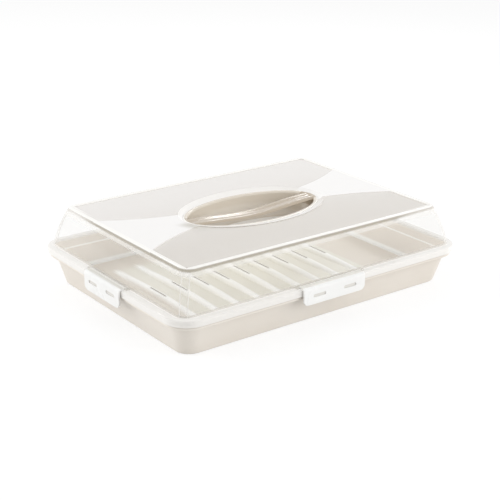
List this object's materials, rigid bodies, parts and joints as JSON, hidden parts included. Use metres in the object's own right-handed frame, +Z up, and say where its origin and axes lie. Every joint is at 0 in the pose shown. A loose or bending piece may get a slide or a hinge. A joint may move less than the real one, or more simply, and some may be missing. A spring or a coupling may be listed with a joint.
{
  "type": "rectangular food carrier",
  "caption": "Low rectangular food carrier: drafted tray with a loose ribbed plate, clear domed lid with a sunk oval handle, and side clips that swing up from the lid's flange.",
  "frame": {"origin": "centre of the tray's underside, on the surface it stands on", "axes": "+X along the long side, +Y towards the back, +Z up; the front clip is at -Y"},
  "size_m": [0.4568, 0.3368, 0.104],
  "materials": {
    "cream_plastic": "smooth moulded cream plastic with a soft gloss",
    "handle_plastic": "polished tan-beige plastic",
    "clear_plastic": "clear moulded plastic, slightly milky on the top",
    "clip_plastic": "milky white translucent plastic"
  },
  "bodies": {
    "base": {"base_tray": "cream_plastic"},
    "plate": {"ribbed_plate": "cream_plastic"},
    "lid": {"lid_shell": "clear_plastic", "oval_handle": "handle_plastic"},
    "clip_front": {"clip_front": "clip_plastic"},
    "clip_back": {"clip_back": "clip_plastic"},
    "clip_left": {"clip_left": "clip_plastic"},
    "clip_right": {"clip_right": "clip_plastic"}
  },
  "joints": [
    {"name": "lid_lift", "type": "slide", "parent": "base", "child": "lid", "axis": [0, 0, 1], "range_m": [0, 0.15]},
    {"name": "plate_lift", "type": "slide", "parent": "base", "child": "plate", "axis": [0, 0, 1], "range_m": [0, 0.05]},
    {"name": "clip_front_swing", "type": "hinge", "parent": "lid", "child": "clip_front", "pos_m": [0, -0.1586, 0.0533], "axis": [-1, 0, 0], "range_deg": [0, 110]},
    {"name": "clip_back_swing", "type": "hinge", "parent": "lid", "child": "clip_back", "pos_m": [0, 0.1586, 0.0533], "axis": [1, 0, 0], "range_deg": [0, 110]},
    {"name": "clip_left_swing", "type": "hinge", "parent": "lid", "child": "clip_left", "pos_m": [-0.2186, 0, 0.0533], "axis": [0, 1, 0], "range_deg": [0, 110]},
    {"name": "clip_right_swing", "type": "hinge", "parent": "lid", "child": "clip_right", "pos_m": [0.2186, 0, 0.0533], "axis": [0, -1, 0], "range_deg": [0, 110]}
  ]
}
